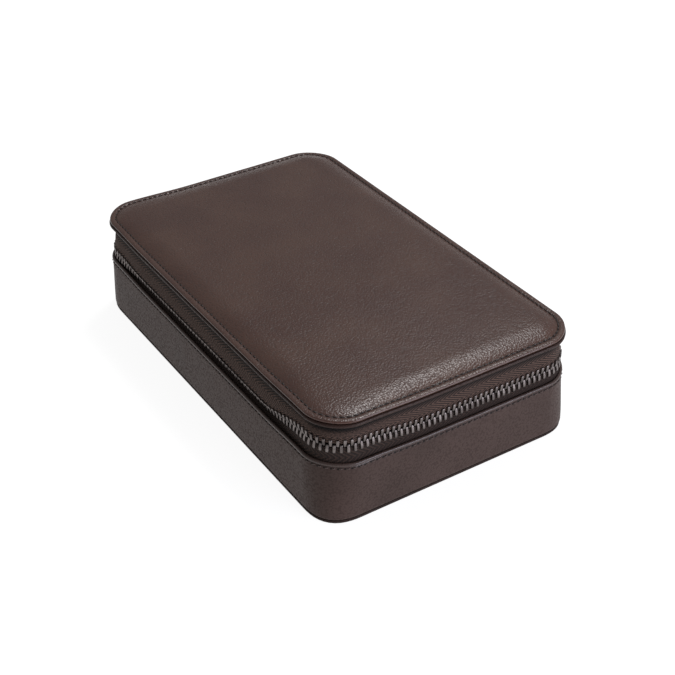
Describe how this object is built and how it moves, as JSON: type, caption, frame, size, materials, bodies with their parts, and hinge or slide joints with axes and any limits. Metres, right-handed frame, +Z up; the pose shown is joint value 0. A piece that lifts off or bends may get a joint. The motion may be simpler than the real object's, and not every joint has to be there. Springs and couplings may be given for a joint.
{
  "type": "watch travel case",
  "caption": "Zip-round leather travel case with a padded hinged lid and lined bays with removable cushions for watches.",
  "frame": {"origin": "middle of the bottom panel's underside, where the case rests", "axes": "+X along the long side, -Y towards the zipped long side that opens, +Y towards the hinge, +Z up"},
  "size_m": [0.212, 0.1342, 0.0531],
  "materials": {
    "leather": "satin, fine pebbled grain",
    "thread": "twisted sewing thread",
    "zip_tape": "herringbone woven tape",
    "zip_metal": "dark antique nickel",
    "stiff_board": "grey-brown fibreboard",
    "suede_lining": "brushed microsuede",
    "foam": "open-cell foam"
  },
  "bodies": {
    "base": {"bottom_panel": "leather", "wall_leather": "leather", "wall_stitching": "thread", "floor_board": "stiff_board", "wall_board": "stiff_board", "tray_wall": "stiff_board", "tray_lining": "suede_lining", "floor_pad": "foam", "floor_lining": "suede_lining", "divider_long": "suede_lining", "divider_cross": "suede_lining", "zip_tape_lower": "zip_tape", "zip_teeth_lower": "zip_metal", "zip_teeth_ends": "zip_metal", "zip_tape_end_left": "zip_tape", "zip_tape_end_right": "zip_tape", "zip_top_stops": "zip_metal", "zip_bottom_stop": "zip_metal", "hinge_spine": "leather"},
    "lid": {"lid_leather": "leather", "lid_stitching": "thread", "lid_foam": "foam", "lid_board": "stiff_board", "lid_binding": "leather", "lid_lining_pad": "foam", "lid_lining": "suede_lining", "zip_tape_upper": "zip_tape", "zip_teeth_upper": "zip_metal"},
    "slider": {"slider_body": "zip_metal", "slider_pin": "zip_metal"},
    "pull": {"pull_tab": "zip_metal"},
    "cushion_1": {"cushion_cover_1": "suede_lining", "cushion_foam_1": "foam"},
    "cushion_2": {"cushion_cover_2": "suede_lining", "cushion_foam_2": "foam"},
    "cushion_3": {"cushion_cover_3": "suede_lining", "cushion_foam_3": "foam"},
    "cushion_4": {"cushion_cover_4": "suede_lining", "cushion_foam_4": "foam"}
  },
  "joints": [
    {"name": "lid_hinge", "type": "hinge", "parent": "base", "child": "lid", "pos_m": [0, 0.0668, 0.0352], "axis": [-1, 0, 0], "range_deg": [0, 179], "deforming": ["hinge_spine", "zip_tape_end_left", "zip_tape_end_right"]},
    {"name": "slider_slide", "type": "slide", "parent": "base", "child": "slider", "axis": [-1, 0, 0], "range_m": [0, 0.022]},
    {"name": "pull_swing", "type": "hinge", "parent": "slider", "child": "pull", "pos_m": [-0.0602, 0.06688, 0.0352], "axis": [0, 0, 1], "range_deg": [0, 180]},
    {"name": "cushion_1_lift", "type": "slide", "parent": "base", "child": "cushion_1", "axis": [0, 0, 1], "range_m": [0, 0.013]},
    {"name": "cushion_2_lift", "type": "slide", "parent": "base", "child": "cushion_2", "axis": [0, 0, 1], "range_m": [0, 0.013]},
    {"name": "cushion_3_lift", "type": "slide", "parent": "base", "child": "cushion_3", "axis": [0, 0, 1], "range_m": [0, 0.013]},
    {"name": "cushion_4_lift", "type": "slide", "parent": "base", "child": "cushion_4", "axis": [0, 0, 1], "range_m": [0, 0.013]}
  ]
}
